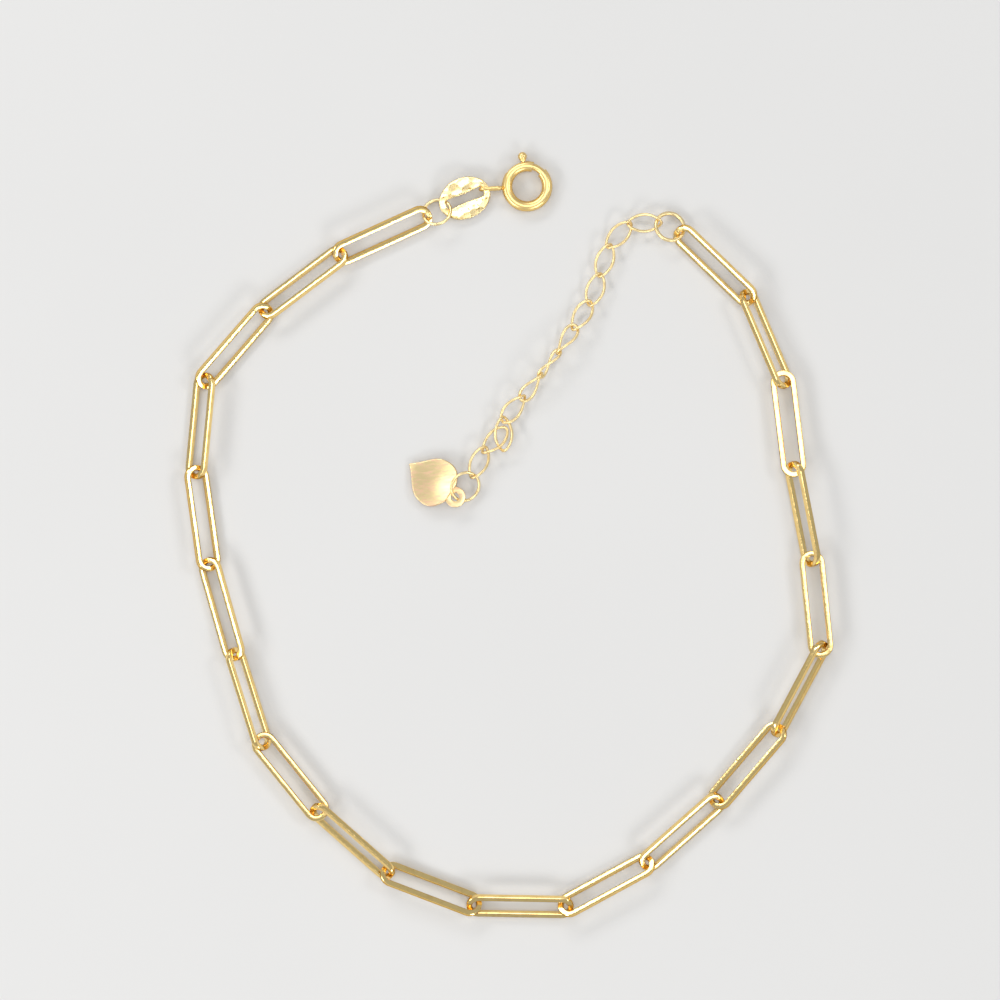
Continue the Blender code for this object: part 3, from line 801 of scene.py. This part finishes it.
class BRACELET_OT_spring_ring(bpy.types.Operator):
    """Models the spring ring clasp: bored tube, eyelet, sliding bolt and knob"""

    bl_idname = "bracelet.spring_ring"
    bl_label = "Spring Ring Clasp"

    def execute(self, context):
        s = sizes()
        f = finish()
        joint = next(j for j in frame["joints"] if j["name"] == "clasp_lever")
        centre = Matrix.Translation(joint["pos_m"])
        radius = (s.clasp_diameter - s.clasp_tube) / 2
        material = gold_finish(
            "Satin clasp gold", f.gold, f.deep_gold, clouds=500.0, cloud_share=0.35,
            smoothest=0.32, roughest=0.44, wave_depth=0.012 * MM, hairline_depth=0.003 * MM,
        )
        body = self.tube(s, radius)
        cut_with(body, self.lever_slot(s, radius))
        solder(body, self.eyelet(s))
        smooth(body)
        lay(body, "clasp_body", centre, material)
        bolt = self.rod(s, radius + s.bolt_outward)
        knob_reach = s.clasp_diameter / 2 + s.knob_gap + s.knob_diameter / 2
        neck_reach = s.clasp_diameter / 2 + s.neck_gap
        solder(bolt, self.pin(s, s.stem_diameter, radius, knob_reach))
        solder(bolt, self.pin(s, s.neck_diameter, neck_reach, knob_reach))
        solder(bolt, self.knob(s, knob_reach))
        smooth(bolt)
        lay(bolt, "clasp_bolt", centre, material, LEVER_BODY)
        for obj in (body, bolt):
            bpy.data.objects.remove(obj, do_unlink=True)
        return {"FINISHED"}

    def at(self, angle, reach):
        """The place that far off the clasp's middle, at an angle."""
        return Vector((math.cos(angle), math.sin(angle), 0)) * reach

    def tube(self, s, radius):
        """A disc is inset, its middle taken out, and the wall left is spun round to the gate."""
        start = s.gate_end
        turn = (QUARTER_TURN, 0, start)
        obj = disc("clasp", TUBE_SIDES, s.clasp_tube / 2, self.at(start, radius), turn)
        edit_all()
        bpy.ops.mesh.inset(thickness=(s.clasp_tube - s.clasp_bore) / 2)
        bpy.ops.transform.translate(value=self.at(start, s.bore_outward))
        bpy.ops.mesh.delete(type="FACE")
        bpy.ops.mesh.select_all(action="SELECT")
        spin_on(TUBE_STEPS, 2 * math.pi - (s.gate_end - s.gate_start))
        end_edit()
        tidy_shell(obj)
        return obj

    def lever_slot(self, s, radius):
        width = s.stem_diameter + 2 * s.slot_clearance
        margin = width / s.clasp_diameter
        start = s.lever_angle - margin
        turn = (QUARTER_TURN, 0, start)
        middle = self.at(start, radius + s.clasp_tube / 2)
        obj = square("lever_slot", s.clasp_tube, middle, turn)
        edit_all()
        bpy.ops.transform.resize(value=(1, 1, width / s.clasp_tube))
        spin_on(LEVER_SLOT_STEPS, s.lever_travel + 2 * margin)
        end_edit()
        tidy_shell(obj)
        return obj

    def eyelet(self, s):
        reach = (s.eyelet_reach - s.eyelet_height) / 2
        radius = (s.eyelet_height - s.eyelet_wire) / 2
        obj = disc("eyelet", finish().wire_sides, s.eyelet_wire / 2, (reach, -radius, 0),
                   (0, QUARTER_TURN, 0))
        bend_link(obj, s.eyelet_reach, s.eyelet_height, s.eyelet_wire)
        away = s.clasp_diameter / 2 - s.eyelet_sunk + s.eyelet_reach / 2
        rise = s.eyelet_height / 2 - s.clasp_tube / 2
        obj.rotation_euler = (QUARTER_TURN, 0, s.eyelet_angle)
        obj.location = self.at(s.eyelet_angle, away) + Vector((0, 0, rise))
        apply_place(obj)
        return obj

    def rod(self, s, radius):
        turn = (QUARTER_TURN, 0, s.bolt_tip)
        obj = disc("bolt", BOLT_SIDES, s.bolt_rod / 2, self.at(s.bolt_tip, radius), turn)
        edit_all()
        spin_on(BOLT_STEPS, s.bolt_tail - s.bolt_tip)
        end_edit()
        tidy_shell(obj)
        round_edges(obj, s.bolt_rounding, segments=3)
        return obj

    def pin(self, s, diameter, start, end):
        """A pin on the knob's line, from one distance to another off the clasp's middle."""
        leave_all()
        bpy.ops.mesh.primitive_cylinder_add(
            vertices=PIN_SIDES, radius=diameter / 2, depth=end - start,
            location=self.at(s.lever_angle, (start + end) / 2),
            rotation=(0, QUARTER_TURN, s.lever_angle),
        )
        obj = bpy.context.object
        apply_place(obj)
        return obj

    def knob(self, s, knob_reach):
        leave_all()
        bpy.ops.mesh.primitive_uv_sphere_add(
            segments=KNOB_SIDES, ring_count=KNOB_RINGS, radius=s.knob_diameter / 2,
            location=self.at(s.lever_angle, knob_reach),
            rotation=(0, QUARTER_TURN, s.lever_angle),
        )
        obj = bpy.context.object
        apply_place(obj)
        return obj


# The heart's half outline from beside its eyelet to its point, in shares of length and half width
HEART_HALF = (
    (0.10, 0.40), (0.16, 0.66), (0.23, 0.86), (0.33, 0.98), (0.44, 1.00), (0.56, 0.95),
    (0.67, 0.80), (0.76, 0.58), (0.85, 0.34), (0.93, 0.15), (1.0, 0.0),
)


class BRACELET_OT_heart_tag(bpy.types.Operator):
    """Models the brushed heart tag with its flat eyelet"""

    bl_idname = "bracelet.heart_tag"
    bl_label = "Heart Tag"

    def execute(self, context):
        s = sizes()
        f = finish()
        tag = self.heart(s)
        solder(tag, self.eyelet(s))
        smooth(tag, 35.0)
        middle, long_way, flat_way, upward = lie_of("heart_tag")
        ring_middle = lie_of("end_ring")[0]
        if (middle - ring_middle).dot(long_way) < 0:
            long_way, flat_way = -long_way, -flat_way
        reach = max((v.co - middle).dot(long_way) for v in NODES["heart_tag"].data.vertices)
        start = middle + (reach - s.tag_length) * long_way
        # The tag's gold is the pale gold, a painted highlight, with rosy streaks.
        material = gold_finish(
            "Brushed tag gold", f.highlight_pale_gold, f.rosy_gold, clouds=4500.0, cloud_share=1.0,
            smoothest=0.30, roughest=0.45, waves=2400.0, wave_depth=0.014 * MM,
            hairline_depth=0.003 * MM, streak=5.0, streak_way=math.radians(6),
        )
        lay(tag, "heart_tag", pose(start, long_way, flat_way, upward), material)
        bpy.data.objects.remove(tag, do_unlink=True)
        return {"FINISHED"}

    def heart(self, s):
        """A raised outline with its edge rounded and its face crowned."""
        half = [(x * s.tag_length, y * s.tag_width / 2) for x, y in curve_through(HEART_HALF)]
        outline = half + [(x, -y) for x, y in reversed(half[:-1])]
        obj = raised_outline("heart", outline, -s.tag_thickness / 2, s.tag_thickness)
        round_edges(obj, s.tag_edge, segments=4, sharper_than=60.0)
        grow(obj, WORK_SCALE)
        add_modifier(obj, "REMESH", mode="VOXEL", voxel_size=s.tag_grain * WORK_SCALE)
        self.crown(obj, s)
        grow(obj, 1 / WORK_SCALE)
        return obj

    def crown(self, obj, s):
        """Lifts the middle of the upper face, the more the nearer to it."""
        middle = Vector((s.tag_crown_place, 0, s.tag_thickness / 2)) * WORK_SCALE
        near = 2 * s.tag_grain * WORK_SCALE
        pick_only(obj)
        bpy.ops.object.mode_set(mode="EDIT")
        select_points(obj, lambda p: (p - middle).length < near)
        bpy.ops.transform.translate(
            value=(0, 0, s.tag_crown * WORK_SCALE), use_proportional_edit=True,
            proportional_edit_falloff="SMOOTH", proportional_size=s.tag_crown_reach * WORK_SCALE,
        )
        end_edit()

    def eyelet(self, s):
        underside = (0, 0, -s.tag_eyelet_thickness / 2)
        obj = disc("tag_eyelet", TAG_EYELET_SIDES, s.tag_eyelet_diameter / 2, underside, (0, 0, 0))
        edit_all()
        bpy.ops.mesh.inset(thickness=(s.tag_eyelet_diameter - s.tag_hole) / 2)
        bpy.ops.mesh.delete(type="FACE")
        bpy.ops.mesh.select_all(action="SELECT")
        raise_selected(s.tag_eyelet_thickness)
        end_edit()
        tidy_shell(obj)
        round_edges(obj, s.tag_eyelet_edge, segments=4, sharper_than=60.0)
        return obj


def soft_light(name, place, aim, width, depth, power, colour=(1.0, 1.0, 1.0)):
    light = bpy.data.lights.new(name, "AREA")
    light.shape = "RECTANGLE"
    light.size = width
    light.size_y = depth
    light.energy = power
    light.color = colour
    obj = bpy.data.objects.new(name, light)
    bpy.context.scene.collection.objects.link(obj)
    obj.location = place
    obj.rotation_euler = (Vector(aim) - Vector(place)).to_track_quat("-Z", "Y").to_euler()
    return obj


TABLE_SIDE = 3.0
PICTURE_MIDDLE = (-0.0009, 0.0035, 0.0)
# How much of the table the picture's side takes in
PICTURE_SIDE = 0.100
LENS_MM = 100.0
SENSOR_MM = 36.0
SOFTBOX_PLACE = (0.02, 0.05, 0.50)
SOFTBOX_SIDE = 0.24
SOFTBOX_COLOUR = (1.0, 0.98, 0.94)
ROOM_COLOUR = (0.75, 0.78, 0.82, 1.0)
STRIP_HEIGHT = 0.10
STRIP_DISTANCE = 0.50
# The strips round the table: name, way round and height in degrees, width, share of the power
SIDE_LIGHTS = (
    ("strip_left", 187.0, 32.0, 0.30, 1.2),
    ("strip_far", 117.0, 33.0, 0.40, 1.5),
    ("strip_near_right", -58.0, 32.0, 0.24, 1.3),
    ("strip_near_left", -135.0, 32.0, 0.18, 1.2),
    ("strip_right", 15.0, 42.0, 0.14, 0.7),
)


class BRACELET_OT_stage(bpy.types.Operator):
    """Lays the pale table, hangs the softboxes and sets the camera straight above"""

    bl_idname = "bracelet.stage"
    bl_label = "Table, Lights and Camera"

    def execute(self, context):
        f = finish()
        self.table(f)
        self.lights(f)
        self.room(context.scene, f)
        self.camera(context.scene)
        context.scene.view_settings.view_transform = "Standard"
        return {"FINISHED"}

    def table(self, f):
        leave_all()
        bpy.ops.mesh.primitive_plane_add(size=TABLE_SIDE, location=(0, 0, 0))
        table = bpy.context.object
        table.name = "table"
        made = bpy.data.materials.new("Pale table")
        made.use_nodes = True
        tree = made.node_tree
        shader = tree.nodes["Principled BSDF"]
        shader.inputs["Roughness"].default_value = 0.75
        where = node(tree, "TexCoord")
        grain = node(tree, "TexNoise", [
            ("Vector", where.outputs["Object"]), ("Scale", 25.0), ("Detail", 3.0),
        ])
        darker = tuple(0.96 * c for c in f.table)
        colour = mix_colours(tree, grain.outputs["Fac"], (*f.table, 1.0), (*darker, 1.0))
        tree.links.new(colour, shader.inputs["Base Color"])
        table.data.materials.append(made)

    def lights(self, f):
        soft_light("softbox_above", SOFTBOX_PLACE, PICTURE_MIDDLE, SOFTBOX_SIDE, SOFTBOX_SIDE,
                   f.key_power, SOFTBOX_COLOUR)
        for name, around, height, width, share in SIDE_LIGHTS:
            turn = math.radians(around)
            rise = math.radians(height)
            way = Vector((math.cos(rise) * math.cos(turn), math.cos(rise) * math.sin(turn),
                          math.sin(rise)))
            soft_light(name, STRIP_DISTANCE * way, PICTURE_MIDDLE, width, STRIP_HEIGHT,
                       f.side_power * share)

    def room(self, scene, f):
        world = bpy.data.worlds.new("Room")
        scene.world = world
        world.use_nodes = True
        shader = world.node_tree.nodes["Background"]
        shader.inputs["Color"].default_value = ROOM_COLOUR
        shader.inputs["Strength"].default_value = f.room

    def camera(self, scene):
        camera = bpy.data.cameras.new("camera")
        camera.lens = LENS_MM
        camera.sensor_width = SENSOR_MM
        camera.clip_start = 0.01
        eye = bpy.data.objects.new("camera", camera)
        eye.location = (*PICTURE_MIDDLE[:2], PICTURE_SIDE * LENS_MM / SENSOR_MM)
        scene.collection.objects.link(eye)
        scene.camera = eye


OPERATORS = (
    BRACELET_OT_paperclip_links,
    BRACELET_OT_rings,
    BRACELET_OT_oval_plate,
    BRACELET_OT_spring_ring,
    BRACELET_OT_extender,
    BRACELET_OT_heart_tag,
    BRACELET_OT_stage,
)


class BRACELET_PT_panel(bpy.types.Panel):
    """The bracelet's pieces, sizes and finish"""

    bl_idname = "BRACELET_PT_panel"
    bl_label = "Paperclip Chain Bracelet"
    bl_space_type = "VIEW_3D"
    bl_region_type = "UI"
    bl_category = "Bracelet"

    def draw(self, context):
        for operator in OPERATORS:
            self.layout.operator(operator.bl_idname)
        for label, group in (("Sizes", sizes()), ("Finish", finish())):
            self.layout.label(text=label)
            for key in group.__annotations__:
                self.layout.prop(group, key)


CLASSES = (BraceletSizes, BraceletFinish, *OPERATORS, BRACELET_PT_panel)


def register():
    for cls in CLASSES:
        bpy.utils.register_class(cls)
    bpy.types.Scene.bracelet_sizes = PointerProperty(type=BraceletSizes)
    bpy.types.Scene.bracelet_finish = PointerProperty(type=BraceletFinish)


def unregister():
    del bpy.types.Scene.bracelet_finish
    del bpy.types.Scene.bracelet_sizes
    for cls in reversed(CLASSES):
        bpy.utils.unregister_class(cls)


def main():
    register()
    bpy.ops.bracelet.paperclip_links()
    bpy.ops.bracelet.rings()
    bpy.ops.bracelet.oval_plate()
    bpy.ops.bracelet.spring_ring()
    bpy.ops.bracelet.extender()
    bpy.ops.bracelet.heart_tag()
    bpy.ops.bracelet.stage()


if __name__ == "__main__":
    main()
